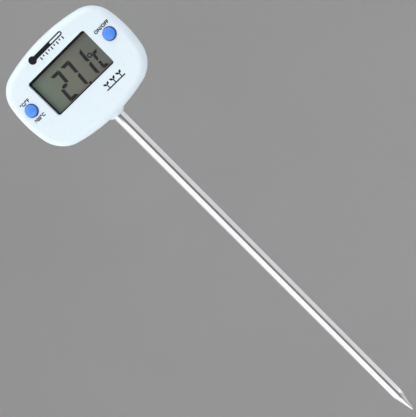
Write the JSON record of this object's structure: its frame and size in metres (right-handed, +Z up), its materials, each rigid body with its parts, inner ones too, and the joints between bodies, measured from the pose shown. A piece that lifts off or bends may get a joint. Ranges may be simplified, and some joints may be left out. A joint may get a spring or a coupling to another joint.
{
  "type": "digital soil thermometer",
  "caption": "Pocket digital soil thermometer: flat rounded head with a display window and push buttons either side, on a slim pointed steel probe.",
  "frame": {"origin": "centre of the probe's shaft where it leaves the collar of the head", "axes": "+Z up along the probe towards the head, -Y out of the display, +Y out of the battery cover, +X to the right as the display is read"},
  "size_m": [0.0462, 0.0166, 0.1848],
  "materials": {
    "white_plastic": "satin moulded ABS with a fine spark texture",
    "blue_plastic": "smooth satin moulded plastic",
    "black_ink": "pad-printed ink",
    "clear_plastic": "clear polished acrylic",
    "black_foam": "matt closed-cell foam",
    "polariser": "satin film",
    "display_glass": "polished glass",
    "reflector": "matt grey-green reflective film",
    "grey_plastic": "matt moulded plastic",
    "black_plastic": "matt moulded plastic",
    "zebra_rubber": "striped silicone rubber",
    "board": "solder-resist lacquer",
    "epoxy": "domed black epoxy",
    "chip_ceramic": "fired ceramic with tinned ends",
    "steel": "drawn and polished stainless steel",
    "plated_steel": "nickel-plated spring strip and screws",
    "cell_steel": "smooth nickel-plated steel can",
    "solder": "smooth solder",
    "lead_insulation": "smooth PVC insulation",
    "sleeve_film": "thin milky insulating tube"
  },
  "bodies": {
    "head": {"front_shell": "white_plastic", "rear_shell": "white_plastic", "case_screws": "plated_steel", "board_screws": "plated_steel", "display_window": "clear_plastic", "window_gasket": "black_foam", "lcd_front_polariser": "polariser", "lcd_front_glass": "display_glass", "lcd_rear_glass": "display_glass", "lcd_reflector": "reflector", "lcd_carrier": "grey_plastic", "zebra_strip": "zebra_rubber", "circuit_board": "board", "chip_blob": "epoxy", "smd_resistors": "chip_ceramic", "smd_capacitors": "chip_ceramic", "unit_switch_housing": "black_plastic", "on_off_switch_housing": "black_plastic", "unit_switch_dome": "plated_steel", "on_off_switch_dome": "plated_steel", "battery_cell": "cell_steel", "battery_contact_positive": "plated_steel", "battery_contact_negative": "plated_steel", "probe_tube": "steel", "probe_tip": "steel", "probe_lock_washer": "plated_steel", "thermistor_leads": "lead_insulation", "thermistor_bead": "epoxy", "tip_potting": "epoxy", "insulating_sleeve": "sleeve_film", "solder_joints": "solder"},
    "unit_button": {"unit_button": "blue_plastic", "unit_switch_plunger": "black_plastic"},
    "on_off_button": {"on_off_button": "blue_plastic", "on_off_switch_plunger": "black_plastic"},
    "battery_cover": {"battery_cover": "white_plastic"}
  },
  "joints": [
    {"name": "unit_button_press", "type": "slide", "parent": "head", "child": "unit_button", "axis": [0, 1, 0], "range_m": [0, 0.0003], "stiffness_N_per_m": 5300, "deforming": ["unit_switch_dome"]},
    {"name": "on_off_button_press", "type": "slide", "parent": "head", "child": "on_off_button", "axis": [0, 1, 0], "range_m": [0, 0.0003], "stiffness_N_per_m": 5300, "deforming": ["on_off_switch_dome"]},
    {"name": "battery_cover_turn", "type": "hinge", "parent": "head", "child": "battery_cover", "pos_m": [0, 0.0075, 0.0195], "axis": [0, 1, 0], "range_deg": [0, 60]}
  ]
}
